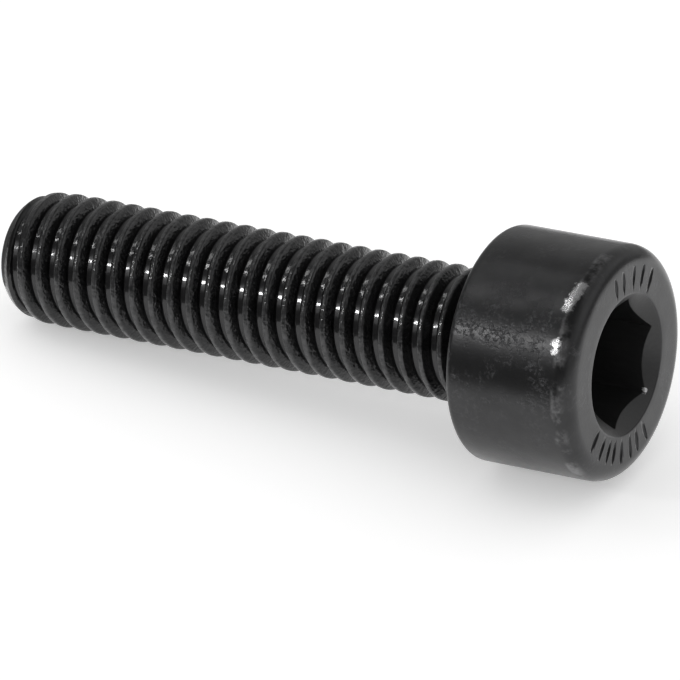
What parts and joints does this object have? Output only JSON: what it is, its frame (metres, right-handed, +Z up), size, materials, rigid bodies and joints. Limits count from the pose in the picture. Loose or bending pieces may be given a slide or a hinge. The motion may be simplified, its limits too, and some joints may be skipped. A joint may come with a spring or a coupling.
{
  "type": "hex socket cap screw",
  "caption": "Fully threaded steel cap screw with a cylindrical head and a hex socket, blackened by oxide.",
  "frame": {"origin": "on the surface that the screw lies on, below the centre of its box", "axes": "+Z up; +X along the surface towards the head, with the screw's own axis in the XZ plane, 5.5 degrees head up"},
  "size_m": [0.0254, 0.0084, 0.0089],
  "materials": {
    "black_oxide_steel": "black oxide with a thin film of oil, satin on the head and glossier on the rolled thread"
  },
  "bodies": {
    "root": {"screw": "black_oxide_steel"}
  },
  "joints": []
}
